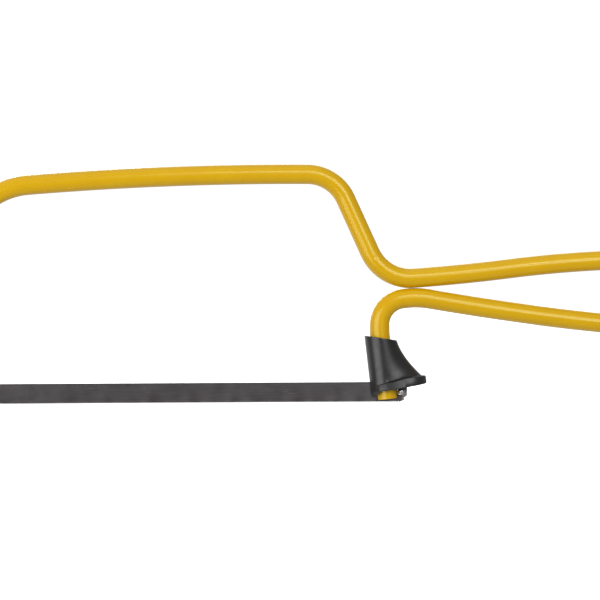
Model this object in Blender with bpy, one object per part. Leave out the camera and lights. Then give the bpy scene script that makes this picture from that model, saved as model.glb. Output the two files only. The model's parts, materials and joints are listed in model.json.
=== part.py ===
"""Junior hacksaw: one bent rod that is frame and handle, a pin-end blade and a slide-on blade guard.

The saw stands upright in the XZ plane. +X points to the handle, +Z up, and Y = 0 is the plane of the
blade. The origin is at the middle of the saw's length, level with the tips of the teeth.
The rod is one piece of spring steel. It is built as two halves that meet in the middle of the top bar,
so that the front arm can be squeezed towards the handle, which is how the blade is changed.
"""
import math

import bmesh
import bpy
from mathutils import Matrix, Vector

MM = 0.001
GAP = 0.3 * MM                      # clearance between two pieces that touch on the real saw

# The rod's centreline: corner points in the XZ plane, each with the radius it is bent to.
ROD_DIAMETER = 6.1 * MM
ROD_SIDES = 16
FRONT_END = (-119.34 * MM, 1.03 * MM)
REAR_END = (23.12 * MM, 1.03 * MM)
ROD_CORNERS = (
    (-103.96 * MM, 65.55 * MM, 22.7 * MM),      # front arm to top bar
    (-44.78 * MM, 70.58 * MM, 990.0 * MM),      # the top bar's slight bow
    (6.78 * MM, 70.49 * MM, 13.1 * MM),         # top bar to the slope behind the throat
    (21.73 * MM, 37.76 * MM, 13.8 * MM),        # slope to the handle's upper run
    (46.35 * MM, 39.45 * MM, 550.0 * MM),       # the upper run lifts off the lower one
    (85.53 * MM, 44.29 * MM, 379.0 * MM),       # the upper run levels out
    (121.93 * MM, 44.20 * MM, 9.5 * MM),        # handle's end, upper bend
    (121.93 * MM, 21.95 * MM, 9.5 * MM),        # handle's end, lower bend
    (87.81 * MM, 24.27 * MM, 611.0 * MM),       # the lower run's slight bow
    (50.85 * MM, 29.48 * MM, 930.0 * MM),       # and on towards the blade
    (32.04 * MM, 32.65 * MM, 27.5 * MM),        # the lower run dips
    (20.75 * MM, 30.86 * MM, 8.0 * MM),         # lower run down to the blade
    (20.75 * MM, 21.56 * MM, 20.0 * MM),        # the last run splays away from the throat
)
BEND_STEP = math.radians(7.5)
LONGEST_STEP = 12.0 * MM
FLEX_X = -50.0 * MM                 # where the top bar gives when the saw is squeezed

# Blade
BLADE_WIDTH = 6.3 * MM
BLADE_THICKNESS = 0.65 * MM
PIN_SPACING = 150.0 * MM
END_BEYOND_PIN = 2.13 * MM
TOOTH_PITCH = 25.4 * MM / 32
TOOTH_DEPTH = 0.4 * MM
TOOTH_RAKE = 0.08                   # how far the tip leans back, as a part of the pitch
TOOTHLESS_END = 1.1 * MM
END_ROUND = 1.2 * MM

# Cross pins
PIN_DIAMETER = 2.0 * MM
PIN_LENGTH = 6.5 * MM
PIN_SIDES = 20
PIN_CHAMFER = 0.2 * MM
REAR_PIN_X = 27.135 * MM
PIN_Z = 3.33 * MM

# Slots sawn into the rod's ends
SLOT_WIDTH = BLADE_THICKNESS + 2 * GAP
SLOT_TOP = 10.0 * MM

# Blade guard, in its own frame: s runs from the rod's axis towards the handle, t up the rod.
REAR_TILT = math.atan2(REAR_END[0] - ROD_CORNERS[-1][0], ROD_CORNERS[-1][1] - REAR_END[1])
NOSE_RADIUS = 4.7 * MM
NOSE_END = 1.75 * MM                # t of the nose's lowest edge
NOSE_BACK = -2.9 * MM               # s where the nose's prongs end
SKIRT_END = 2.75 * MM               # t of the skirt's lower edge at the rod's axis
SKIRT_SLOPE = 0.05
TOP_T = 18.7 * MM                   # t of the slanted top at the rod's axis
TOP_SLOPE = -0.262
RIM_TOP = 4.9 * MM
RIM_STEP = 0.35 * MM
NECK_REACH = 4.85 * MM              # how far the guard reaches behind the rod's axis, at the top
FLARE_REACH = 7.15 * MM             # and how much further at the foot
FLARE_WIDTH = 1.1 * MM              # how much each side spreads at the foot
FLARE_LENGTH = 13.6 * MM
FLARE_POWER = 1.6
FLARE_RINGS = 12
RIM_CORNER = 3.0 * MM               # corner radius seen from above, at the foot
NECK_CORNER = 4.2 * MM              # and at the top
NOSE_STEPS = 16
CORNER_STEPS = 5
BORE_SIDES = 24
WALL = 1.6 * MM
HOLLOW_FRONT = 5.1 * MM
HOLLOW_LEVELS = (-5.0 * MM, RIM_TOP, 6.5 * MM, 8.2 * MM, 10.0 * MM)
PIN_ROOM = (2.8 * MM, 5.6 * MM, 3.5 * MM)       # from s, to s, up to t
BEYOND = 30.0 * MM                  # how far a cutter reaches past the guard

SHARP_EDGE = math.radians(35)

YELLOW = (0.69, 0.40, 0.008)
DARK_STEEL = (0.065, 0.062, 0.060)
PIN_STEEL = (0.33, 0.33, 0.34)
BLACK_PLASTIC = (0.022, 0.022, 0.023)


def clear_scene():
    for item in list(bpy.data.objects):
        bpy.data.objects.remove(item, do_unlink=True)


def make_material(name, colour, roughness, metallic):
    material = bpy.data.materials.new(name)
    material.use_nodes = True
    shader = material.node_tree.nodes["Principled BSDF"]
    shader.inputs["Base Color"].default_value = (*colour, 1.0)
    shader.inputs["Roughness"].default_value = roughness
    shader.inputs["Metallic"].default_value = metallic
    material.diffuse_color = (*colour, 1.0)
    return material


def make_object(name, mesh_data, material=None, parent=None):
    """Turn a bmesh given in the parent's frame, or in world space, into a named object."""
    mesh = bpy.data.meshes.new(name)
    bmesh.ops.recalc_face_normals(mesh_data, faces=mesh_data.faces)
    mesh_data.to_mesh(mesh)
    mesh_data.free()
    item = bpy.data.objects.new(name, mesh)
    bpy.context.scene.collection.objects.link(item)
    item.parent = parent
    if material:
        mesh.materials.append(material)
        mesh.shade_smooth()
        mesh.set_sharp_from_angle(angle=SHARP_EDGE)
    return item


def make_axis(name, location, tilt=0.0):
    """An empty on a joint's axis."""
    axis = bpy.data.objects.new(name, None)
    axis.location = location
    axis.rotation_euler = (0.0, tilt, 0.0)
    bpy.context.scene.collection.objects.link(axis)
    bpy.context.view_layer.update()
    return axis


def cut(item, cutter, name):
    cutter.hide_render = True
    cutter.display_type = "WIRE"
    boolean = item.modifiers.new(name, "BOOLEAN")
    boolean.operation = "DIFFERENCE"
    boolean.object = cutter


def box_mesh(low, high):
    low, high = Vector(low), Vector(high)
    data = bmesh.new()
    middle = Matrix.Translation((low + high) / 2)
    bmesh.ops.create_cube(data, size=1.0, matrix=middle @ Matrix.Diagonal((*(high - low), 1.0)))
    return data


def loft_mesh(rings):
    """A closed solid through rings of equally many points, capped at both ends."""
    data = bmesh.new()
    loops = [[data.verts.new(point) for point in ring] for ring in rings]
    count = len(loops[0])
    for lower, upper in zip(loops, loops[1:]):
        for i in range(count):
            j = (i + 1) % count
            data.faces.new((lower[i], lower[j], upper[j], upper[i]))
    data.faces.new(reversed(loops[0]))
    data.faces.new(loops[-1])
    return data


# Frame rod

def rod_path():
    """Points along the rod's centreline, from the front end to the rear end."""
    corners = [Vector((x, z)) for x, z in (FRONT_END, *((x, z) for x, z, _ in ROD_CORNERS), REAR_END)]
    points = [corners[0]]
    for before, corner, after, bend in zip(corners, corners[1:], corners[2:], ROD_CORNERS):
        arrive = (corner - before).normalized()
        leave = (after - corner).normalized()
        turn = arrive.angle_signed(leave)
        radius = bend[2]
        start = corner - arrive * radius * math.tan(abs(turn) / 2)
        side = math.copysign(1.0, turn)
        centre = start + Vector((arrive.y, -arrive.x)) * radius * side
        steps = max(math.ceil(abs(turn) / BEND_STEP), math.ceil(radius * abs(turn) / LONGEST_STEP))
        for i in range(steps + 1):
            points.append(centre + Matrix.Rotation(-turn * i / steps, 2) @ (start - centre))
    points.append(corners[-1])
    return points


def split_path(points):
    """The path's front and rear stretches, with a narrow gap between them in the top bar."""
    for i, (a, b) in enumerate(zip(points, points[1:])):
        if a.x < FLEX_X <= b.x:
            middle = a.lerp(b, (FLEX_X - a.x) / (b.x - a.x))
            half_gap = (b - a).normalized() * GAP / 2
            return points[:i + 1] + [middle - half_gap], [middle + half_gap] + points[i + 1:], middle


def rod_mesh(points):
    rings = []
    for i, point in enumerate(points):
        along = (points[min(i + 1, len(points) - 1)] - points[max(i - 1, 0)]).normalized()
        across = Vector((-along.y, 0.0, along.x))
        centre = Vector((point.x, 0.0, point.y))
        ring = []
        for k in range(ROD_SIDES):
            angle = 2 * math.pi * k / ROD_SIDES
            offset = across * math.cos(angle) + Vector((0.0, 1.0, 0.0)) * math.sin(angle)
            ring.append(centre + offset * ROD_DIAMETER / 2)
        rings.append(ring)
    return loft_mesh(rings)


def cut_rod_end(rod, name, end_x, pin_x):
    """Saw the blade's slot, and file the flat on the outer side that the pin bears on."""
    reach = ROD_DIAMETER
    slot = box_mesh((end_x - reach, -SLOT_WIDTH / 2, -reach), (end_x + reach, SLOT_WIDTH / 2, SLOT_TOP))
    cut(rod, make_object(name + "_slot", slot), "slot")
    outward = math.copysign(1.0, pin_x - end_x)
    flat_x = pin_x - outward * (PIN_DIAMETER / 2 + GAP)
    far_x = flat_x + outward * reach
    flat = box_mesh((min(flat_x, far_x), -reach, -reach), (max(flat_x, far_x), reach, SLOT_TOP))
    cut(rod, make_object(name + "_flat", flat), "flat")


def make_frame(material):
    front_path, rear_path, middle = split_path(rod_path())
    rear = make_object("frame_rod_rear", rod_mesh(rear_path), material)
    cut_rod_end(rear, "rear_end", REAR_END[0], REAR_PIN_X)
    pivot = make_axis("frame_spring_axis", (middle.x, 0.0, middle.y))
    front_mesh = rod_mesh(front_path)
    bmesh.ops.translate(front_mesh, verts=front_mesh.verts, vec=-pivot.location)
    front = make_object("frame_rod_front", front_mesh, material, parent=pivot)
    cut_rod_end(front, "front_end", FRONT_END[0], REAR_PIN_X - PIN_SPACING)


# Blade and its pins

def blade_outline():
    """The blade's outline in the XZ plane, from the rear pin: teeth along the foot, then round."""
    front = -PIN_SPACING - END_BEYOND_PIN
    rear = END_BEYOND_PIN
    foot = -PIN_Z
    top = BLADE_WIDTH - PIN_Z
    gullet = foot + TOOTH_DEPTH
    teeth = math.floor((rear - front - 2 * TOOTHLESS_END) / TOOTH_PITCH)
    first = (front + rear - teeth * TOOTH_PITCH) / 2
    outline = [(front, foot + END_ROUND), (front + END_ROUND / 2, gullet)]
    for i in range(teeth):
        x = first + i * TOOTH_PITCH
        outline.append((x, gullet))
        outline.append((x + TOOTH_RAKE * TOOTH_PITCH, foot))
    outline.append((first + teeth * TOOTH_PITCH, gullet))
    outline += [(rear - END_ROUND / 2, gullet), (rear, foot + END_ROUND), (rear, top), (front, top)]
    return outline


def make_blade(steel, pin_steel):
    axis = make_axis("blade_release_axis", (REAR_PIN_X, 0.0, PIN_Z))
    half = BLADE_THICKNESS / 2
    outline = blade_outline()
    rings = [[Vector((x, y, z)) for x, z in outline] for y in (-half, half)]
    blade = make_object("blade", loft_mesh(rings), steel, parent=axis)
    for name, x in (("rear_pin", 0.0), ("front_pin", -PIN_SPACING)):
        make_object(name, pin_mesh(x, PIN_DIAMETER / 2, PIN_LENGTH, PIN_CHAMFER), pin_steel, axis)
        hole = pin_mesh(x, PIN_DIAMETER / 2 + GAP / 2, PIN_LENGTH, 0.0)
        cut(blade, make_object(name + "_hole", hole, parent=axis), name)


def pin_mesh(x, radius, length, chamfer):
    """A round pin along Y, with a chamfer at both ends if one is given."""
    profile = [(-length / 2, radius - chamfer), (length / 2, radius - chamfer)]
    if chamfer:
        profile[1:1] = [(-length / 2 + chamfer, radius), (length / 2 - chamfer, radius)]
    rings = []
    for y, r in profile:
        angles = [2 * math.pi * k / PIN_SIDES for k in range(PIN_SIDES)]
        rings.append([Vector((x + r * math.cos(a), y, r * math.sin(a))) for a in angles])
    return loft_mesh(rings)


# Blade guard

def flare(t):
    """How far the skirt has spread at height t: 0 at the neck, 1 at the rim."""
    rise = max(t - RIM_TOP, 0.0) / FLARE_LENGTH
    return max(1.0 - rise, 0.0) ** FLARE_POWER


def rear_outline(t, grow):
    """The outline behind the rod at height t, from the far side round to the near one."""
    spread = flare(t)
    reach = NECK_REACH + FLARE_REACH * spread + grow
    half_width = NOSE_RADIUS + FLARE_WIDTH * spread + grow
    corner = min(NECK_CORNER + (RIM_CORNER - NECK_CORNER) * spread + min(grow, 0.0), half_width)
    points = []
    for side, start, end in ((-1.0, 0.0, math.pi / 2), (1.0, math.pi / 2, 0.0)):
        for i in range(CORNER_STEPS + 1):
            angle = start + (end - start) * i / CORNER_STEPS
            s = reach - corner + corner * math.sin(angle)
            points.append((s, side * (half_width - corner + corner * math.cos(angle))))
    return points


def shell_ring(t, grow=0.0):
    """The guard's whole outline at height t: round in front of the rod, square-shouldered behind it."""
    angles = [math.pi * (0.5 + i / NOSE_STEPS) for i in range(NOSE_STEPS + 1)]
    nose = [(NOSE_RADIUS * math.cos(a), NOSE_RADIUS * math.sin(a)) for a in angles]
    return [Vector((s, y, t)) for s, y in nose + rear_outline(t, grow)]


def hollow_ring(t):
    """The outline of the space inside the skirt at height t, flat towards the rod."""
    rear = rear_outline(t, -WALL)
    half_width = rear[-1][1]
    front = [(HOLLOW_FRONT, half_width), (HOLLOW_FRONT, -half_width)]
    return [Vector((s, y, t)) for s, y in front + rear]


def prism_mesh(corners):
    """A prism across the whole guard, from its corners in the plane of s and t."""
    half = NOSE_RADIUS + FLARE_WIDTH + 2 * RIM_STEP
    return loft_mesh([[Vector((s, y, t)) for s, t in corners] for y in (-half, half)])


def cylinder_mesh(radius, bottom, top):
    angles = [2 * math.pi * k / BORE_SIDES for k in range(BORE_SIDES)]
    rims = [(radius * math.cos(a), radius * math.sin(a)) for a in angles]
    return loft_mesh([[Vector((s, y, t)) for s, y in rims] for t in (bottom, top)])


def make_guard(material):
    """The guard: a sleeve on the rod whose skirt flares out behind it, open underneath."""
    axis = make_axis("guard_slide_axis", (REAR_END[0], 0.0, REAR_END[1]), -REAR_TILT)
    highest = TOP_T - 2 * TOP_SLOPE * NOSE_RADIUS
    heights = [RIM_TOP + (highest - RIM_TOP) * (i / FLARE_RINGS) ** 1.4 for i in range(1, FLARE_RINGS + 1)]
    rings = [shell_ring(NOSE_END, RIM_STEP), shell_ring(RIM_TOP, RIM_STEP)]
    rings += [shell_ring(t) for t in heights]
    guard = make_object("blade_guard", loft_mesh(rings), material, parent=axis)

    half_pin = PIN_LENGTH / 2 + GAP
    cutters = {
        "slanted_top": prism_mesh((
            (-BEYOND, TOP_T - TOP_SLOPE * BEYOND), (BEYOND, TOP_T + TOP_SLOPE * BEYOND),
            (BEYOND, 2 * BEYOND), (-BEYOND, 2 * BEYOND))),
        "skirt_edge": prism_mesh((
            (NOSE_BACK, -BEYOND), (BEYOND, -BEYOND),
            (BEYOND, SKIRT_END + SKIRT_SLOPE * BEYOND), (NOSE_BACK, SKIRT_END + SKIRT_SLOPE * NOSE_BACK))),
        "bore": cylinder_mesh(ROD_DIAMETER / 2 + GAP, -BEYOND, BEYOND),
        "hollow": loft_mesh([hollow_ring(t) for t in HOLLOW_LEVELS]),
        "pin_room": box_mesh((PIN_ROOM[0], -half_pin, -BEYOND), (PIN_ROOM[1], half_pin, PIN_ROOM[2])),
    }
    for name, mesh_data in cutters.items():
        cut(guard, make_object("guard_" + name, mesh_data, parent=axis), name)

    slot = box_mesh(
        (REAR_END[0] - 2 * NOSE_RADIUS, -SLOT_WIDTH / 2, -BEYOND),
        (REAR_PIN_X + END_BEYOND_PIN + GAP, SLOT_WIDTH / 2, BLADE_WIDTH + GAP))
    cut(guard, make_object("guard_slot", slot), "blade_slot")


def main():
    clear_scene()
    make_frame(make_material("yellow_powder_coat", YELLOW, 0.35, 0.0))
    make_blade(
        make_material("blade_steel", DARK_STEEL, 0.45, 0.8),
        make_material("pin_steel", PIN_STEEL, 0.35, 1.0),
    )
    make_guard(make_material("black_plastic", BLACK_PLASTIC, 0.4, 0.0))


main()
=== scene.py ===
"""Looks of the junior hacksaw: enamelled rod frame, pin-end blade, cross pins and moulded blade guard.

+X points to the handle and +Z up from the tips of the teeth. Y = 0 is the plane of the blade.
Lengths below are in millimetres. MM turns them into metres where a mesh is made.
"""
import json
import math

import bmesh
import bpy
from mathutils import Matrix, Vector
from mathutils.geometry import interpolate_bezier


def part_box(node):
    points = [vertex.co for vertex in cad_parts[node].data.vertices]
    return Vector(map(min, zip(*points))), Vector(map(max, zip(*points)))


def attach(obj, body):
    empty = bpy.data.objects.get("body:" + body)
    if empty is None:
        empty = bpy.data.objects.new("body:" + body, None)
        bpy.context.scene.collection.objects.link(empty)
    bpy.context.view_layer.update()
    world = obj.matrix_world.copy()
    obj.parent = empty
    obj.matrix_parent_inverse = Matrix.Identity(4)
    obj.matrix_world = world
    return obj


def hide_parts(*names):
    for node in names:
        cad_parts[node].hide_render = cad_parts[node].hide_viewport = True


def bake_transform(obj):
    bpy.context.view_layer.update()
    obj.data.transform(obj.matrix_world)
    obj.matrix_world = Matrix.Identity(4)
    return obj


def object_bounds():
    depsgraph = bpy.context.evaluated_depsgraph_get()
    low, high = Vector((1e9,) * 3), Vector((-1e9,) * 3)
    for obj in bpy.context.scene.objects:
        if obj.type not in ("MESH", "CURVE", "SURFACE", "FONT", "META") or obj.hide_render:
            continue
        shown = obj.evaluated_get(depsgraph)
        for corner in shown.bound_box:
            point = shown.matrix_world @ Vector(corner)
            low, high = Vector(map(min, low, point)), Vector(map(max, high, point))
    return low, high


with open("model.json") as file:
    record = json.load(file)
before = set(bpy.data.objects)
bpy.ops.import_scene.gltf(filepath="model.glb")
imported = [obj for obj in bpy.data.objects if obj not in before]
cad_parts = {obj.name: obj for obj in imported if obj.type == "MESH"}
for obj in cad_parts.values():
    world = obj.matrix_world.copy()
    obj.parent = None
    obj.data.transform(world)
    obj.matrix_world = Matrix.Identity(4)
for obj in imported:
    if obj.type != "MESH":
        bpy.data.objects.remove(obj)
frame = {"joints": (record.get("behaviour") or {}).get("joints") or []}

CAD_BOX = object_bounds()
MM = 0.001

# Rod frame: corner points of the centreline in the XZ plane, each with the radius it is bent to
ROD_RADIUS = 3.048
ROD_SIDES = 64
FRONT_END = (-119.34, 1.03)
REAR_END = (23.12, 1.03)
ROD_CORNERS = (
    (-103.96, 65.55, 22.7),      # front arm to top bar
    (-44.78, 70.58, 990.0),      # the top bar's slight bow
    (6.78, 70.49, 13.1),         # top bar to the slope behind the throat
    (21.73, 37.76, 13.8),        # slope to the handle's upper run
    (46.35, 39.45, 550.0),       # the upper run lifts off the lower one
    (85.53, 44.29, 379.0),       # the upper run levels out
    (121.93, 44.20, 9.5),        # handle's end, upper bend
    (121.93, 21.95, 9.5),        # handle's end, lower bend
    (87.81, 24.27, 611.0),       # the lower run's slight bow
    (50.85, 29.48, 930.0),       # and on towards the blade
    (32.04, 32.65, 27.5),        # the lower run dips
    (20.75, 30.86, 8.0),         # lower run down to the blade
    (20.75, 21.56, 20.0),        # the last run splays away from the throat
)
BEND_STEP = math.radians(3.0)
LONGEST_STEP = 2.5
END_ROUND = 0.2                  # rounded rim of the rod's sawn ends
SLOT_WIDTH = 1.0                 # sawn slot that holds the blade
SLOT_TOP = 10.0
FLAT_TOP = 6.0                   # top of the flat filed on the outer side, for the pin to bear on
PIN_FLAT_GAP = 0.08
EDGE_BEVEL = 0.14
BEVEL_ANGLE = math.radians(50)
MARK_CENTRE = (19.15, 44.63)     # small tool mark beside the lower bend of the slope
MARK_DIRECTION = (0.47, -0.88)
MARK_LENGTH = 0.85
MARK_WIDTH = 0.4
MARK_DEPTH = 0.12
MARK_REACH = 3.0                 # the dent fades out at this many times its length and width
MARK_STEP = 0.22
END_WEAR = (0.6, 2.2)            # heights between which the wear of the sawn ends fades out

# Blade
BLADE_THICKNESS = 0.65
TOOTH_PITCH = 25.4 / 32
TOOTH_DEPTH = 0.42
TOOTH_SHAPE = ((0.0, 0.55), (0.05, 0.0), (0.28, 0.0), (0.58, 0.40), (0.78, 0.88), (0.90, 1.0), (0.97, 0.92))
SET_WAVE = 8 * TOOTH_PITCH       # the teeth swing from side to side in a wave
SET_REACH = 0.08
SET_TOP = 1.0                    # above this height the blade is flat again
SET_RAMP = 4.0                   # the wave grows over this length from each end
SET_RISE = 0.25                  # least height between a gullet and the flat part
BACK_BEVEL = 0.03
END_SHAPE = ((0.0, 2.08), (0.10, 1.95), (0.45, 1.65), (0.82, 1.45), (0.92, 1.22), (0.96, 0.82), (1.02, 0.46))
TOP_CORNER = ((0.0, 0.45), (0.10, 0.20), (0.45, 0.0))
HOLE_RADIUS = 1.08
HOLE_REACH = 3.0
BARE_TIPS = (0.10, 0.60)         # heights above the tips between which the bare steel fades out
BARE_ENDS = (0.6, 3.0)           # the same from the blade's ends
BARE_FOOT = (1.0, 5.0)           # and upwards at the ends
BLADE_SHARP = math.radians(25)

# Cross pins
PIN_RADIUS = 1.0
TURNING_PITCH = 0.16
PIN_SIDES = 48
PIN_END = (                      # (distance from the end, share of the radius) of its turned end
    (0.0, 0.02), (0.01, 0.3), (0.03, 0.44), (0.09, 0.54), (0.40, 0.72),
    (0.62, 0.86), (0.75, 0.95), (0.88, 1.0), (1.3, 1.0),
)

# Blade guard, in its own frame: s runs from the rod's axis towards the handle, t up the rod
BOSS_RADIUS = 4.8
NECK_REACH = 4.95
FOOT_REACH = 12.45
CREASE_S = -0.4
FLARE_START = 4.9
FLARE_LENGTH = 13.6
FLARE_POWER = 1.65
SIDE_POWER = 3.0                 # the sides spread later than the rear
SKIRT_SIDE = ((12.45, 0.0), (12.45, 3.2), (10.2, 5.0), (6.4, 5.15), (3.6, 5.27), (1.0, 5.25), (-0.4, 4.783))
FLANGE_SIDE = ((12.72, 0.0), (12.72, 3.5), (10.5, 5.6), (6.2, 5.95), (3.6, 6.18), (-1.0, 6.5), (-3.1, 4.1))
FLANGE_LEAN = 0.46               # its sides lean in towards the top
FLANGE_FRONT = ((-3.2, 3.9), (-3.2, 3.3), (-3.2, 2.2), (-3.2, 1.0))
TOP_T = 19.0
TOP_SLOPE = -0.262
LINE_T = 5.38                    # t of the line between skirt and flange at the rod's axis
LINE_SLOPE = 0.15
LINE_BEND = 6.0                  # s where that line turns down again
LINE_FALL = -0.05
FOOT_T = 2.75
FOOT_SLOPE = 0.05
NOSE_T = 1.78
NOSE_BACK = -3.0
LIP_REACH = 0.2
LIP_HEIGHT = 0.55
GROOVE_DEPTH = 0.22
GROOVE_HEIGHT = 0.26
GROOVE_FRONT = (-0.5, 0.5)       # values of s between which lip and groove come in
GROOVE_REAR = (6.5, 9.0)         # and fade out again
GROOVE_STEPS = ((1.2, 1.0), (GROOVE_HEIGHT, 1.0), (0.12, 0.9), (0.04, 0.25))    # (drop, share of the depth)
NOSE_ROUND = ((0.0, 0.3), (0.09, 0.09), (0.3, 0.0))                             # (rise, inset)
RIM_ROUND = ((0.14, 0.0), (0.07, 0.02), (0.02, 0.07), (0.0, 0.14))              # (drop, inset)
FLANGE_FOOT = ((0.0, 0.28), (0.09, 0.08), (0.3, 0.0))                           # (rise, inset)
FLANGE_ROUND = ((0.4, 0.0), (0.2, 0.07), (0.06, 0.2), (0.0, 0.4))               # (drop, inset)
FLANGE_CORE = (4.3, 2.4)         # t and inset of the flange's last ring, inside the skirt
SKIRT_POINTS = 44
NOSE_POINTS = 20
SKIRT_RINGS = 44
FLARE_ROUNDS = 12                # a point's height depends on its s, so the two are settled in turn
BORE_RADIUS = 3.13
BORE_SIDES = 64
BORE_FLARE = 0.4                 # the bore opens by this much over BORE_FLARE_LENGTH, for the rod's bend
BORE_FLARE_START = 14.5
BORE_FLARE_LENGTH = 5.0
HOLLOW_FRONT = 5.1
HOLLOW_HALF_WIDTHS = ((-5.0, 3.9), (5.0, 3.8), (6.5, 3.0), (8.2, 2.3), (9.6, 1.5), (10.0, 1.1))
HOLLOW_POINTS = 48
HOLLOW_POWER = 0.75              # below 1 its outline is fuller than an ellipse
WALL = 1.6
GUARD_SLOT = 1.2
SLOT_GAP = 0.3                   # round the blade's end
SLOT_FRONT = 12.0                # the slot starts this far in front of the rod's axis
PIN_ROOM = ((2.8, -3.55, -5.0), (5.6, 3.55, 3.5))
BELOW = -5.0                     # t at which the cutters start, under the guard
BESIDE = 10.0
BEYOND = 30.0
OVERLAP = 0.35                   # of the skirt into the flange
SCUFF_FOOT = 0.5                 # height of the rubbed band round the foot
SCUFF_TOP = (-0.35, 0.05)        # and round the rim, from the rim's own height
GUARD_SHARP = math.radians(32)

# Camera and studio
TARGET_FROM_CENTRE = (-4.0, 0.0, -5.085)
CAMERA_DISTANCE = 800.0
CAMERA_YAW = math.radians(6.0)
CAMERA_ROLL = math.radians(0.13)
CAMERA_LENS = 155.6
SENSOR = 36.0
FLOOR_DROP = 25.0                # the blade hangs lower when it is released, so the floor clears it
FLOOR_SIZE = 60000.0
FLOOR_GLOW = 0.70
WORLD_STRENGTH = 1.05
TENT_RADIUS = 5000.0
TENT_FRONT = 0.28                # how brightly the tent glows in front of the saw, behind it, above and below
TENT_BACK = 1.10
TENT_RIGHT = 0.30                # its share of that glow behind the saw on the handle side
TENT_TOP = 0.15
TENT_FOOT = 0.32

SHARP_EDGE = math.radians(38)


# Meshes

def smoothstep(low, high, value):
    share = min(max((value - low) / (high - low), 0.0), 1.0)
    return share * share * (3 - 2 * share)


def loft(rings):
    """A solid through rings of equally many points, in millimetres."""
    data = bmesh.new()
    loops = [[data.verts.new(Vector(point) * MM) for point in ring] for ring in rings]
    count = len(loops[0])
    for lower, upper in zip(loops, loops[1:]):
        for i in range(count):
            j = (i + 1) % count
            data.faces.new((lower[i], lower[j], upper[j], upper[i]))
    data.faces.new(reversed(loops[0]))
    data.faces.new(loops[-1])
    return data


def circle_across(centre, radius, y):
    """A ring round an axis along Y."""
    angles = [2 * math.pi * k / PIN_SIDES for k in range(PIN_SIDES)]
    return [(centre.x + radius * math.cos(a), y, centre.z + radius * math.sin(a)) for a in angles]


def block(low, high):
    """A plain box, used only to cut with."""
    (x0, y0, z0), (x1, y1, z1) = low, high
    return loft([[(x0, y0, z), (x1, y0, z), (x1, y1, z), (x0, y1, z)] for z in (z0, z1)])


def make_object(name, data, place=None):
    mesh = bpy.data.meshes.new(name)
    bmesh.ops.recalc_face_normals(data, faces=data.faces)
    data.to_mesh(mesh)
    data.free()
    if place:
        mesh.transform(place)
    item = bpy.data.objects.new(name, mesh)
    bpy.context.scene.collection.objects.link(item)
    return item


def bake_modifiers(item):
    graph = bpy.context.evaluated_depsgraph_get()
    mesh = bpy.data.meshes.new_from_object(item.evaluated_get(graph))
    item.modifiers.clear()
    item.data = mesh


def carve(item, cutters, operation="DIFFERENCE"):
    for cutter in cutters:
        boolean = item.modifiers.new(cutter.name, "BOOLEAN")
        boolean.operation = operation
        boolean.solver = "EXACT"
        boolean.object = cutter
    bake_modifiers(item)
    for cutter in cutters:
        bpy.data.objects.remove(cutter, do_unlink=True)


def bevel(item, width, angle):
    modifier = item.modifiers.new("bevel", "BEVEL")
    modifier.width = width * MM
    modifier.segments = 2
    modifier.limit_method = "ANGLE"
    modifier.angle_limit = angle
    modifier.use_clamp_overlap = True
    bake_modifiers(item)


def finish_piece(item, material, nodes, body=None, sharp=SHARP_EDGE):
    item.data.materials.clear()
    item.data.materials.append(material)
    item.data.shade_smooth()
    item.data.set_sharp_from_angle(angle=sharp)
    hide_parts(*nodes)
    if body:
        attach(item, body)


def paint(item, name, weight):
    """Store weight(co), with co in millimetres, as a point attribute for the material."""
    layer = item.data.attributes.new(name, "FLOAT", "POINT")
    layer.data.foreach_set("value", [weight(v.co / MM) for v in item.data.vertices])


# Rod frame

def rod_path():
    """Points along the rod's centreline, from the front end to the rear end."""
    corners = [Vector((x, z)) for x, z in (FRONT_END, *((x, z) for x, z, _ in ROD_CORNERS), REAR_END)]
    points = [corners[0]]
    for before, corner, after, bend in zip(corners, corners[1:], corners[2:], ROD_CORNERS):
        arrive = (corner - before).normalized()
        leave = (after - corner).normalized()
        turn = arrive.angle_signed(leave)
        radius = bend[2]
        start = corner - arrive * radius * math.tan(abs(turn) / 2)
        side = math.copysign(1.0, turn)
        centre = start + Vector((arrive.y, -arrive.x)) * radius * side
        steps = max(math.ceil(abs(turn) / BEND_STEP), math.ceil(radius * abs(turn) / LONGEST_STEP))
        for i in range(steps + 1):
            points.append(centre + Matrix.Rotation(-turn * i / steps, 2) @ (start - centre))
    points.append(corners[-1])
    return points


def refine(points):
    """No step longer than LONGEST_STEP, and short steps beside the tool mark."""
    mark = Vector(MARK_CENTRE)
    fine = [points[0]]
    for a, b in zip(points, points[1:]):
        near = ((a + b) / 2 - mark).length < ROD_RADIUS + MARK_LENGTH
        count = max(1, math.ceil((b - a).length / (MARK_STEP if near else LONGEST_STEP)))
        fine += [a.lerp(b, i / count) for i in range(1, count + 1)]
    return fine


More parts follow.
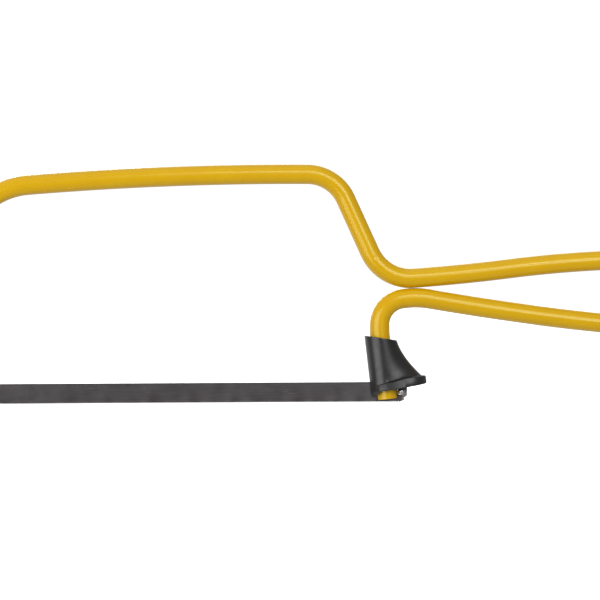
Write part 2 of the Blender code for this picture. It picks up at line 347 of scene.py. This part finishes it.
def rod_rings(points):
    """Rings round the centreline, with the rims of both ends rounded."""
    length = [0.0]
    for a, b in zip(points, points[1:]):
        length.append(length[-1] + (b - a).length)
    quarter = [math.pi / 2 * i / 4 for i in range(5)]
    rim = [(END_ROUND * (1 - math.sin(a)), ROD_RADIUS - END_ROUND * (1 - math.cos(a)))
           for a in reversed(quarter)]
    stations = rim + [(d, ROD_RADIUS) for d in length[1:-1]]
    stations += [(length[-1] - d, r) for d, r in reversed(rim)]
    rings = []
    segment = 0
    for distance, radius in stations:
        while segment < len(points) - 2 and length[segment + 1] < distance - 1e-9:
            segment += 1
        share = (distance - length[segment]) / (length[segment + 1] - length[segment])
        centre = points[segment].lerp(points[segment + 1], share)
        along = points[segment + 1] - points[segment]
        if share > 1 - 1e-6 and segment < len(points) - 2:
            along = points[segment + 2] - points[segment]
        along.normalize()
        across = Vector((-along.y, 0.0, along.x))
        ring = []
        for k in range(ROD_SIDES):
            angle = 2 * math.pi * k / ROD_SIDES
            offset = across * math.cos(angle) + Vector((0.0, 1.0, 0.0)) * math.sin(angle)
            ring.append(Vector((centre.x, 0.0, centre.y)) + offset * radius)
        rings.append(ring)
    return rings


def press_mark(item):
    """A small dent on the near side, left by the bending tool."""
    right, up = MARK_DIRECTION
    along = Vector((right, 0.0, up))
    across = Vector((-up, 0.0, right))
    for vertex in item.data.vertices:
        co = vertex.co / MM
        if co.y > 0:
            continue
        offset = co - Vector((MARK_CENTRE[0], co.y, MARK_CENTRE[1]))
        spread = (offset.dot(along) / MARK_LENGTH) ** 2 + (offset.dot(across) / MARK_WIDTH) ** 2
        if spread < MARK_REACH ** 2:
            vertex.co.y += MARK_DEPTH * math.exp(-spread) * MM


def end_cutters(name, end_x, pin_x):
    """The slot for the blade and the flat on the outer side of a rod's end."""
    reach = 2 * ROD_RADIUS
    half = SLOT_WIDTH / 2
    slot = block((end_x - reach, -half, -reach), (end_x + reach, half, SLOT_TOP))
    outward = math.copysign(1.0, pin_x - end_x)
    flat_x = pin_x - outward * (PIN_RADIUS + PIN_FLAT_GAP)
    far_x = flat_x + outward * reach
    flat = block((min(flat_x, far_x), -reach, -reach), (max(flat_x, far_x), reach, FLAT_TOP))
    return [make_object(name + "_slot", slot), make_object(name + "_flat", flat)]


def rod_wear(co):
    """How worn the coat is: at the sawn ends and along the edges of the slots."""
    near_end = 1.0 - smoothstep(*END_WEAR, co.z)
    on_slot = abs(co.y) < SLOT_WIDTH / 2 + EDGE_BEVEL and co.z < SLOT_TOP + EDGE_BEVEL
    return 1.0 if on_slot else 0.5 * near_end


def make_rod(material, pins):
    rod = make_object("rod_frame", loft(rod_rings(refine(rod_path()))))
    press_mark(rod)
    front, rear = pins
    carve(rod, end_cutters("front", FRONT_END[0], front.x) + end_cutters("rear", REAR_END[0], rear.x))
    bevel(rod, EDGE_BEVEL, BEVEL_ANGLE)
    paint(rod, "wear", rod_wear)
    finish_piece(rod, material, ("frame_rod_front", "frame_rod_rear"))
    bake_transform(rod)


# Blade and pins

def blade_columns(low, high):
    """(x, z of the lower edge, z of the upper edge) along the blade, from its front end to its rear end."""
    left, right = low.x, high.x
    teeth = math.floor((right - left - 2 * END_SHAPE[-1][0]) / TOOTH_PITCH) - 1
    first = (left + right - teeth * TOOTH_PITCH) / 2
    lower = [(left + dx, z) for dx, z in END_SHAPE]
    for i in range(teeth):
        lower += [(first + (i + dx) * TOOTH_PITCH, z * TOOTH_DEPTH) for dx, z in TOOTH_SHAPE]
    lower += [(right - dx, z) for dx, z in reversed(END_SHAPE)]
    columns = []
    for x, z in lower:
        from_end = min(x - left, right - x)
        drop = 0.0
        for (d0, z0), (d1, z1) in zip(TOP_CORNER, TOP_CORNER[1:]):
            if d0 <= from_end <= d1:
                drop = z0 + (z1 - z0) * (from_end - d0) / (d1 - d0)
        columns.append((x, low.z + z, high.z - drop))
    return columns


def blade_data(low, high):
    """The blade as a sheet with a wave in its toothed edge and a small bevel on its back."""
    data = bmesh.new()
    half = BLADE_THICKNESS / 2
    sections = []
    for x, foot, top in blade_columns(low, high):
        swing = SET_REACH * math.sin(2 * math.pi * x / SET_WAVE)
        swing *= smoothstep(0.0, SET_RAMP, min(x - low.x, high.x - x))
        waist = max(SET_TOP, foot + SET_RISE)
        heights = (foot, (foot + waist) / 2, waist, top - BACK_BEVEL)
        section = []
        for side in (-1, 1):
            rows = []
            for z in heights:
                lean = swing * (1 - smoothstep(low.z, low.z + SET_TOP, z))
                rows.append((x, side * half + lean, z))
            rows.append((x, side * (half - BACK_BEVEL), top))
            section.append(rows)
        sections.append(section[0] + section[1][::-1])
    loops = [[data.verts.new(Vector(point) * MM) for point in section] for section in sections]
    for a, b in zip(loops, loops[1:]):
        count = len(a)
        for i in range(count):
            j = (i + 1) % count
            data.faces.new((a[i], a[j], b[j], b[i]))
    data.faces.new(loops[0])
    data.faces.new(reversed(loops[-1]))
    return data


def pin_data(centre, half_length):
    """A pin along Y with turned ends."""
    profile = [(-1.0, inset, share) for inset, share in PIN_END]
    profile += [(1.0, inset, share) for inset, share in reversed(PIN_END)]
    return loft([circle_across(centre, PIN_RADIUS * share, centre.y + side * (half_length - inset))
                 for side, inset, share in profile])


def bare_steel(low, high):
    """How bare the steel is: half at the tips of the teeth, fully at the foot of the blade's ends."""
    def weight(co):
        tips = 0.5 - 0.5 * smoothstep(*BARE_TIPS, co.z - low.z)
        ends = 1.0 - smoothstep(*BARE_ENDS, min(co.x - low.x, high.x - co.x))
        foot = 1.0 - smoothstep(*BARE_FOOT, co.z - low.z)
        return max(tips, ends * foot)
    return weight


def make_blade(material, pins):
    low, high = (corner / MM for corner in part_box("blade"))
    blade = make_object("saw_blade", blade_data(low, high))
    holes = []
    for i, centre in enumerate(pins):
        rings = [circle_across(centre, HOLE_RADIUS, y) for y in (-HOLE_REACH, HOLE_REACH)]
        holes.append(make_object("pin_hole_%d" % i, loft(rings)))
    carve(blade, holes)
    paint(blade, "bare", bare_steel(low, high))
    finish_piece(blade, material, ("blade",), "blade", BLADE_SHARP)


# Blade guard

def along_bezier(points, count):
    """count + 1 points at equal distances along two joined cubic curves."""
    corners = [Vector((*p, 0.0)) for p in points]
    line = []
    for i in (0, 3):
        knot, handle, other_handle, other_knot = corners[i:i + 4]
        line += interpolate_bezier(knot, handle, other_handle, other_knot, 200)[(1 if i else 0):]
    lengths = [0.0]
    for a, b in zip(line, line[1:]):
        lengths.append(lengths[-1] + (b - a).length)
    result = []
    index = 0
    for k in range(count + 1):
        wanted = lengths[-1] * k / count
        while index < len(line) - 2 and lengths[index + 1] < wanted:
            index += 1
        share = (wanted - lengths[index]) / (lengths[index + 1] - lengths[index])
        point = line[index].lerp(line[index + 1], share)
        result.append((point.x, point.y))
    return result


def both_sides(half):
    """A closed outline from its half, which runs from the rear to the front on the +Y side."""
    closing = half[-2:0:-1] if abs(half[-1][1]) < 1e-9 else half[:0:-1]
    return half + [(s, -y) for s, y in closing]


def nose_arc():
    crease = math.acos(CREASE_S / BOSS_RADIUS)
    return [(BOSS_RADIUS * math.cos(a), BOSS_RADIUS * math.sin(a)) for a in
            (crease + (math.pi - crease) * i / NOSE_POINTS for i in range(1, NOSE_POINTS + 1))]


def neck_half():
    crease = math.acos(CREASE_S / BOSS_RADIUS)
    half = []
    for i in range(SKIRT_POINTS + 1):
        angle = crease * i / SKIRT_POINTS
        reach = NECK_REACH if angle < math.pi / 2 else BOSS_RADIUS
        half.append((reach * math.cos(angle), BOSS_RADIUS * math.sin(angle)))
    return half + nose_arc()


def flare(t):
    """How far the skirt has spread at height t: 0 at the neck, 1 at the foot."""
    rise = max(t - FLARE_START, 0.0) / FLARE_LENGTH
    return max(1.0 - rise, 0.0) ** FLARE_POWER


def top_t(s):
    return TOP_T + TOP_SLOPE * s


def line_t(s):
    """Height of the line between the skirt and the flange round its foot."""
    return LINE_T + LINE_SLOPE * min(s, LINE_BEND) + LINE_FALL * max(s - LINE_BEND, 0.0)


def foot_t(s):
    return FOOT_T + FOOT_SLOPE * s


def groove_weight(s):
    """1 along the skirt's sides, 0 round the nose and the rear."""
    return smoothstep(*GROOVE_FRONT, s) * (1.0 - smoothstep(*GROOVE_REAR, s))


def outward(ring):
    """Unit vectors square to a closed outline, pointing out of it."""
    count = len(ring)
    area = sum(a[0] * b[1] - b[0] * a[1] for a, b in zip(ring, ring[1:] + ring[:1]))
    side = math.copysign(1.0, area)
    normals = []
    for i in range(count):
        before, after = ring[i - 1], ring[(i + 1) % count]
        along = Vector((after[0] - before[0], after[1] - before[1])).normalized()
        normals.append(Vector((along.y, -along.x)) * side)
    return normals


def offset_ring(ring, amounts):
    normals = outward([(p[0], p[1]) for p in ring])
    return [(s + n.x * a, y + n.y * a, t) for (s, y, t), n, a in zip(ring, normals, amounts)]


def skirt_body():
    """The boss on the rod and the skirt that spreads behind it, down to the line above the flange."""
    neck = both_sides(neck_half())
    foot = both_sides(along_bezier(SKIRT_SIDE, SKIRT_POINTS) + nose_arc())

    def ring_at(share):
        ring = []
        for (ns, ny), (fs, fy) in zip(neck, foot):
            s = ns
            for _ in range(FLARE_ROUNDS):
                t = line_t(s) + share * (top_t(s) - line_t(s))
                spread = flare(t)
                s = ns + (fs - ns) * spread
            ring.append((s, ny + (fy - ny) * spread ** SIDE_POWER, t))
        return ring

    def lipped(ring):
        amounts = []
        for s, _, t in ring:
            lip = LIP_REACH * math.exp(-max(t - line_t(s), 0.0) / LIP_HEIGHT)
            amounts.append(lip * groove_weight(s))
        return offset_ring(ring, amounts)

    shares = [(i / SKIRT_RINGS) ** 1.5 for i in range(SKIRT_RINGS)]
    base = lipped(ring_at(0.0))

    def grooved(depth_share):
        depth = depth_share * (GROOVE_DEPTH + LIP_REACH)
        return offset_ring(base, [-groove_weight(s) * depth for s, _, _ in base])

    rings = []
    for rise, inset in NOSE_ROUND:
        ring = offset_ring(grooved(1.0), [-inset] * len(base))
        rings.append([(s, y, NOSE_T + rise) for s, y, _ in ring])
    for drop, depth_share in GROOVE_STEPS:
        rings.append([(s, y, t - drop) for s, y, t in grooved(depth_share)])
    rings += [lipped(ring_at(share)) for share in shares]
    top = ring_at(1.0)
    for drop, inset in RIM_ROUND:
        rings.append([(s, y, t - drop) for s, y, t in offset_ring(top, [-inset] * len(top))])
    return loft(rings)


def flange_body():
    """The flange round the skirt's foot."""
    outline = both_sides(along_bezier(FLANGE_SIDE, SKIRT_POINTS) + list(FLANGE_FRONT))
    rear, front, side = FLANGE_SIDE[0][0], FLANGE_FRONT[-1][0], FLANGE_SIDE[4][1]
    middle = (rear + front) / 2

    def level(t_of, inset, lean=0.0):
        """The outline drawn in by inset, at the height t_of(s) of each of its points."""
        along = 1 - inset / (rear - middle)
        across = 1 - (inset + lean) / side
        return [(middle + (s - middle) * along, y * across, t_of(s)) for s, y in outline]

    def top_at(s):
        return line_t(s) - GROOVE_HEIGHT * groove_weight(s)

    core_t, core_inset = FLANGE_CORE
    rings = [level(lambda s: foot_t(s) + rise, inset) for rise, inset in FLANGE_FOOT]
    rings += [level(lambda s: top_at(s) - drop, inset, FLANGE_LEAN) for drop, inset in FLANGE_ROUND]
    rings.append(level(lambda s: core_t, core_inset))
    return loft(rings)


def hollow_body():
    """The space inside the skirt."""
    rings = []
    for t, half_width in HOLLOW_HALF_WIDTHS:
        reach = NECK_REACH + (FOOT_REACH - NECK_REACH) * flare(t) - WALL
        middle, half_length = (reach + HOLLOW_FRONT) / 2, (reach - HOLLOW_FRONT) / 2
        ring = []
        for k in range(HOLLOW_POINTS):
            angle = 2 * math.pi * k / HOLLOW_POINTS
            c, s = math.cos(angle), math.sin(angle)
            ring.append((middle + half_length * math.copysign(abs(c) ** HOLLOW_POWER, c),
                         half_width * math.copysign(abs(s) ** HOLLOW_POWER, s), t))
        rings.append(ring)
    return loft(rings)


def bore_body():
    """The hole for the rod, which opens towards the top."""
    angles = [2 * math.pi * k / BORE_SIDES for k in range(BORE_SIDES)]
    rings = []
    for t in (BELOW, *(BORE_FLARE_START + i for i in range(8))):
        opening = max(t - BORE_FLARE_START, 0.0) / BORE_FLARE_LENGTH
        radius = BORE_RADIUS + BORE_FLARE * opening ** 2
        rings.append([(radius * math.cos(a), radius * math.sin(a), t) for a in angles])
    return loft(rings)


def prism(corners):
    """A cutter across the whole guard, from its corners in the plane of s and t."""
    return loft([[(s, y, t) for s, t in corners] for y in (-BESIDE, BESIDE)])


def guard_scuffs(place):
    """How rubbed the plastic is: round its foot, and less round its top rim."""
    inverse = place.inverted()

    def weight(co):
        local = inverse @ (co * MM) / MM
        foot = 1.0 - smoothstep(0.0, SCUFF_FOOT, local.z - foot_t(local.x))
        top = smoothstep(*SCUFF_TOP, local.z - top_t(local.x))
        return max(foot, 0.6 * top)
    return weight


def make_guard(material):
    slide = next(joint for joint in frame["joints"] if joint["name"] == "guard_slide")
    up = Vector(slide["axis"]).normalized()
    along = Vector((up.z, 0.0, -up.x))
    place = Matrix((
        (along.x, 0.0, up.x, REAR_END[0] * MM),
        (0.0, 1.0, 0.0, 0.0),
        (along.z, 0.0, up.z, REAR_END[1] * MM),
        (0.0, 0.0, 0.0, 1.0),
    ))
    guard = make_object("guard_shell", skirt_body(), place)
    under = prism((
        (NOSE_BACK, -BEYOND), (BEYOND, -BEYOND),
        (BEYOND, foot_t(BEYOND) + OVERLAP), (NOSE_BACK, foot_t(NOSE_BACK) + OVERLAP)))
    carve(guard, [make_object("under_skirt", under, place)])
    carve(guard, [make_object("flange", flange_body(), place)], "UNION")
    blade_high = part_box("blade")[1] / MM
    cutters = [
        make_object("bore", bore_body(), place),
        make_object("hollow", hollow_body(), place),
        make_object("pin_room", block(*PIN_ROOM), place),
        make_object("blade_way", block(
            (REAR_END[0] - SLOT_FRONT, -GUARD_SLOT / 2, BELOW),
            (blade_high.x + SLOT_GAP, GUARD_SLOT / 2, blade_high.z + SLOT_GAP))),
    ]
    carve(guard, cutters)
    paint(guard, "scuff", guard_scuffs(place))
    finish_piece(guard, material, ("blade_guard",), "guard", GUARD_SHARP)


# Materials

class Nodes:
    """Builds a material's node tree in few words."""

    def __init__(self, name):
        self.material = bpy.data.materials.new(name)
        self.material.use_nodes = True
        self.tree = self.material.node_tree
        self.shader = self.tree.nodes["Principled BSDF"]
        self.place = self.add("ShaderNodeTexCoord").outputs["Object"]

    def add(self, kind, inputs=None, **settings):
        node = self.tree.nodes.new(kind)
        for key, value in settings.items():
            setattr(node, key, value)
        for key, value in (inputs or {}).items():
            self.feed(node.inputs[key], value)
        return node

    def feed(self, socket, value):
        if isinstance(value, bpy.types.NodeSocket):
            self.tree.links.new(value, socket)
        else:
            socket.default_value = value

    def noise(self, size, detail, stretch=None, distortion=0.0):
        """Noise whose features are about size millimetres across."""
        place = self.place
        if stretch:
            place = self.add("ShaderNodeMapping", {"Vector": place, "Scale": stretch}).outputs[0]
        node = self.add("ShaderNodeTexNoise", {
            "Vector": place, "Scale": 1.0 / (size * MM), "Detail": detail, "Distortion": distortion})
        return node.outputs["Fac"]

    def between(self, value, low, high, to_low, to_high):
        node = self.add("ShaderNodeMapRange", {
            "Value": value, "From Min": low, "From Max": high, "To Min": to_low, "To Max": to_high})
        node.clamp = True
        return node.outputs["Result"]

    def mix(self, share, a, b):
        node = self.add("ShaderNodeMix", data_type="RGBA")
        self.feed(node.inputs[0], share)
        self.feed(node.inputs[6], (*a, 1.0) if isinstance(a, tuple) else a)
        self.feed(node.inputs[7], (*b, 1.0) if isinstance(b, tuple) else b)
        return node.outputs[2]

    def maths(self, operation, a, b=0.0):
        node = self.add("ShaderNodeMath", operation=operation)
        self.feed(node.inputs[0], a)
        self.feed(node.inputs[1], b)
        return node.outputs[0]

    def attribute(self, name):
        return self.add("ShaderNodeAttribute", attribute_name=name).outputs["Fac"]

    def bump(self, height, depth, strength, onto=None):
        node = self.add("ShaderNodeBump", {"Height": height, "Distance": depth * MM, "Strength": strength})
        if onto:
            self.feed(node.inputs["Normal"], onto)
        return node.outputs["Normal"]

    def set(self, **values):
        names = {"colour": "Base Color", "roughness": "Roughness", "metallic": "Metallic", "normal": "Normal",
                 "specular": "Specular IOR Level", "tint": "Specular Tint"}
        for key, value in values.items():
            self.feed(self.shader.inputs[names[key]], value)
        return self.material


def enamel():
    """Yellow enamel on steel rod: even, glossy, a little uneven in tone, worn through at sawn edges."""
    n = Nodes("yellow_enamel")
    tone = n.between(n.noise(14.0, 2.0), 0.35, 0.65, 0.0, 1.0)
    fine = n.between(n.noise(2.4, 1.5), 0.3, 0.7, 0.0, 1.0)
    yellow = n.mix(tone, (0.644, 0.361, 0.0008), (0.660, 0.382, 0.0012))
    yellow = n.mix(n.maths("MULTIPLY", fine, 0.25), yellow, (0.602, 0.340, 0.0010))
    wear = n.attribute("wear")
    chipped = n.between(n.maths("ADD", wear, n.noise(0.5, 4.0)), 1.35, 1.45, 0.0, 1.0)
    dull = n.mix(n.maths("MULTIPLY", wear, 0.35), yellow, (0.36, 0.18, 0.006))
    colour = n.mix(chipped, dull, (0.20, 0.16, 0.11))
    normal = n.bump(n.noise(3.0, 1.0), 0.002, 0.3)
    return n.set(colour=colour, roughness=n.between(n.noise(9.0, 1.0), 0.3, 0.7, 0.22, 0.25),
                 specular=0.50, tint=(0.76, 1.0, 0.60, 1.0), normal=normal)


def blackened_steel():
    """Blackened blade steel with fine marks along it, bare at the tips of the teeth and the rubbed ends."""
    n = Nodes("blackened_steel")
    blotch = n.between(n.noise(9.0, 3.0), 0.35, 0.65, 0.0, 1.0)
    streak = n.between(n.noise(0.22, 4.0, (0.03, 1.0, 1.0)), 0.3, 0.7, 0.0, 1.0)
    dark = n.mix(blotch, (0.062, 0.055, 0.059), (0.078, 0.073, 0.074))
    dark = n.mix(n.maths("MULTIPLY", streak, 0.5), dark, (0.100, 0.095, 0.096))
    scratch = n.between(n.noise(0.3, 3.0, (0.05, 1.0, 1.0), distortion=0.4), 0.66, 0.70, 0.0, 0.5)
    dark = n.mix(scratch, dark, (0.20, 0.195, 0.19))
    bare = n.attribute("bare")
    patchy = n.maths("ADD", bare, n.maths("MULTIPLY", n.noise(0.4, 4.0), 0.6))
    rubbed = n.between(patchy, 0.75, 1.25, 0.0, 1.0)
    colour = n.mix(rubbed, dark, (0.30, 0.29, 0.27))
    normal = n.bump(n.noise(0.12, 3.0, (0.04, 1.0, 1.0)), 0.004, 0.6)
    return n.set(colour=colour, metallic=0.85, specular=0.5,
                 roughness=n.between(n.noise(3.0, 4.0), 0.3, 0.7, 0.36, 0.52), normal=normal)


def turned_steel(centre):
    """Bright pin steel with faint turning rings on its ends."""
    n = Nodes("turned_steel")
    kind = "ShaderNodeVectorMath"
    shifted = n.add(kind, {0: n.place, 1: tuple(centre * MM)}, operation="SUBTRACT").outputs[0]
    flat = n.add(kind, {0: shifted, 1: (1.0, 0.0, 1.0)}, operation="MULTIPLY").outputs[0]
    radius = n.add(kind, {0: flat}, operation="LENGTH").outputs["Value"]
    rings = n.maths("SINE", n.maths("MULTIPLY", radius, 2 * math.pi / (TURNING_PITCH * MM)))
    tone = n.between(n.noise(0.5, 4.0), 0.35, 0.65, 0.0, 1.0)
    colour = n.mix(tone, (0.42, 0.41, 0.39), (0.56, 0.55, 0.53))
    return n.set(colour=colour, metallic=1.0, normal=n.bump(rings, 0.004, 0.5),
                 roughness=n.between(n.noise(0.8, 3.0), 0.3, 0.7, 0.22, 0.36))


def black_plastic():
    """Black moulded plastic with a fine satin grain, paler where its edges are rubbed."""
    n = Nodes("black_plastic")
    tone = n.between(n.noise(4.0, 4.0), 0.35, 0.65, 0.0, 1.0)
    colour = n.mix(tone, (0.0075, 0.0075, 0.0080), (0.0115, 0.0112, 0.0115))
    rub = n.between(n.maths("ADD", n.maths("MULTIPLY", n.attribute("scuff"), 0.4), n.noise(0.45, 4.0)),
                    0.80, 0.95, 0.0, 1.0)
    colour = n.mix(rub, colour, (0.055, 0.055, 0.056))
    soft = n.bump(n.noise(3.2, 2.0), 0.02, 0.35)
    normal = n.bump(n.noise(0.16, 3.0), 0.006, 0.5, soft)
    return n.set(colour=colour, specular=0.5, normal=normal,
                 roughness=n.between(n.noise(1.2, 4.0), 0.3, 0.7, 0.33, 0.42))


def pale_floor():
    n = Nodes("pale_floor")
    tone = n.between(n.noise(90.0, 3.0), 0.3, 0.7, 0.0, 1.0)
    n.shader.inputs["Emission Color"].default_value = (1.0, 1.0, 1.0, 1.0)
    n.shader.inputs["Emission Strength"].default_value = FLOOR_GLOW
    n.material.cycles.emission_sampling = "NONE"
    return n.set(colour=n.mix(tone, (0.93, 0.93, 0.93), (0.95, 0.95, 0.95)), roughness=0.9, specular=0.0)


# Studio

def panel(name, place, size, radiance, target=(0.0, 0.0, 35.0), turn=0.0):
    """A soft rectangular light, not itself visible, with its size in millimetres."""
    light = bpy.data.lights.new(name, "AREA")
    light.shape = "RECTANGLE"
    light.size, light.size_y = (side * MM for side in size)
    light.energy = radiance * 4 * light.size * light.size_y
    item = bpy.data.objects.new(name, light)
    item.location = Vector(place) * MM
    aim = (Vector(target) - Vector(place)).to_track_quat("-Z", "Y")
    item.rotation_mode = "QUATERNION"
    item.rotation_quaternion = aim @ Matrix.Rotation(turn, 3, "Z").to_quaternion()
    item.visible_camera = False
    bpy.context.scene.collection.objects.link(item)


def strip(name, start, end, width, radiance, target=(20.0, 0.0, 45.0)):
    """A long narrow light from start to end."""
    start, end = Vector(start), Vector(end)
    middle = (start + end) / 2
    aim = (Vector(target) - middle).to_track_quat("-Z", "Y")
    line = aim.inverted() @ (end - start)
    panel(name, middle, ((end - start).length, width), radiance, target, math.atan2(line.y, line.x))


def make_tent():
    """The soft surroundings: a dome that lights the saw and is reflected in it, itself unseen."""
    data = bmesh.new()
    bmesh.ops.create_icosphere(data, subdivisions=3, radius=TENT_RADIUS * MM)
    tent = make_object("tent", data)
    tent.visible_camera = False
    n = Nodes("tent_cloth")
    n.tree.nodes.remove(n.shader)
    apart = n.add("ShaderNodeSeparateXYZ", {0: n.place}).outputs
    radius = TENT_RADIUS * MM
    back = n.between(apart["X"], -0.5 * radius, 0.5 * radius, TENT_BACK, TENT_BACK * TENT_RIGHT)
    behind = n.between(apart["Y"], -0.1 * radius, 0.7 * radius, TENT_FRONT, back)
    above = n.between(apart["Z"], 0.2 * radius, 0.9 * radius, 0.0, TENT_TOP)
    below = n.between(apart["Z"], -0.9 * radius, -0.3 * radius, TENT_FOOT, 0.0)
    glow = n.maths("ADD", n.maths("ADD", behind, above), below)
    emission = n.add("ShaderNodeEmission", {"Color": (1.0, 1.0, 1.0, 1.0), "Strength": glow})
    output = n.tree.nodes["Material Output"]
    n.tree.links.new(emission.outputs[0], output.inputs["Surface"])
    n.material.cycles.emission_sampling = "NONE"
    tent.data.materials.append(n.material)


def make_studio():
    world = bpy.data.worlds.new("studio")
    world.use_nodes = True
    background = world.node_tree.nodes["Background"]
    background.inputs["Color"].default_value = (1.0, 1.0, 1.0, 1.0)
    background.inputs["Strength"].default_value = WORLD_STRENGTH
    world.cycles.sampling_method = "NONE"
    bpy.context.scene.world = world
    bpy.context.scene.view_settings.view_transform = "Standard"

    half = FLOOR_SIZE / 2
    z = CAD_BOX[0].z / MM - FLOOR_DROP
    data = bmesh.new()
    corners = [(-half, -half, z), (half, -half, z), (half, half, z), (-half, half, z)]
    data.faces.new([data.verts.new(Vector(corner) * MM) for corner in corners])
    floor = make_object("floor", data)
    floor.data.materials.append(pale_floor())
    floor.visible_diffuse = False
    floor.visible_glossy = False

    make_tent()
    strip("upper_light", (40, -800, 515), (290, -800, 439), 240, 5.7)
    strip("far_upper_light", (290, -800, 439), (500, -800, 375), 240, 4.2)
    panel("lower_light", (330, -800, 188), (300, 155), 7.0)
    panel("left_light", (-660, -640, 0), (860, 800), 3.3)
    panel("top_light", (-100, -250, 1000), (1100, 800), 0.25)
    panel("back_light", (100, 880, 350), (800, 700), 1.6)
    strip("back_strip", (-480, 800, 200), (-35, 800, 600), 45, 8.0)


def make_camera():
    low, high = CAD_BOX
    target = (low + high) / 2 + Vector(TARGET_FROM_CENTRE) * MM
    forward = Vector((math.sin(CAMERA_YAW), math.cos(CAMERA_YAW), 0.0))
    camera = bpy.data.objects.new("camera", bpy.data.cameras.new("camera"))
    camera.data.sensor_width = SENSOR
    camera.data.lens = CAMERA_LENS
    camera.location = target - forward * CAMERA_DISTANCE * MM
    camera.rotation_mode = "QUATERNION"
    roll = Matrix.Rotation(-CAMERA_ROLL, 3, "Z").to_quaternion()
    camera.rotation_quaternion = forward.to_track_quat("-Z", "Y") @ roll
    bpy.context.scene.collection.objects.link(camera)
    bpy.context.scene.camera = camera


def pin_centres():
    centres = []
    for node in ("front_pin", "rear_pin"):
        low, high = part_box(node)
        centres.append((low + high) / 2 / MM)
    return centres


pins = pin_centres()
make_camera()
make_studio()
make_rod(enamel(), pins)
make_blade(blackened_steel(), pins)
for node, name, centre in zip(("front_pin", "rear_pin"), ("pin_front", "pin_rear"), pins):
    half_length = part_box(node)[1].y / MM
    piece = make_object(name, pin_data(centre, half_length))
    finish_piece(piece, turned_steel(centre), (node,), "blade")
make_guard(black_plastic())
